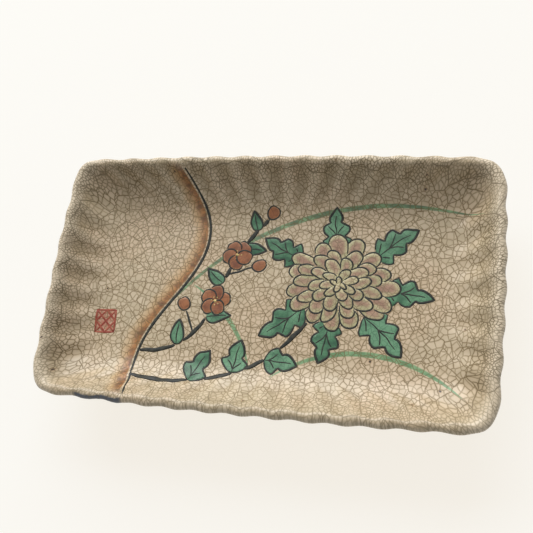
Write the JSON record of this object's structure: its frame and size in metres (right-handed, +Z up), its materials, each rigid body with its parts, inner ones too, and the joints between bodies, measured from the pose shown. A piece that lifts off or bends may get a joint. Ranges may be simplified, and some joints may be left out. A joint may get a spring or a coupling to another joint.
{
  "type": "rectangular plate",
  "caption": "Rectangular stoneware plate with a fluted, upturned wall, a rounded lip and a foot ring, glazed with a fine crackle and painted with a flower, leaves and grasses.",
  "frame": {"origin": "middle of the plane that the foot stands on, under the middle of the plate", "axes": "+X along the plate's length, +Y across it towards its back, +Z up out of its floor"},
  "size_m": [0.2286, 0.133, 0.032],
  "materials": {
    "crackle_glaze": "glossy",
    "bare_clay": "matte",
    "green_enamel": "glossy",
    "mauve_enamel": "satin",
    "russet_enamel": "satin",
    "ochre_enamel": "glossy",
    "iron_wash": "glossy",
    "dark_line": "satin",
    "blue_enamel": "glossy",
    "red_mark": "satin"
  },
  "bodies": {
    "root": {"plate_body": "crackle_glaze", "foot_ring": "bare_clay"}
  },
  "joints": []
}
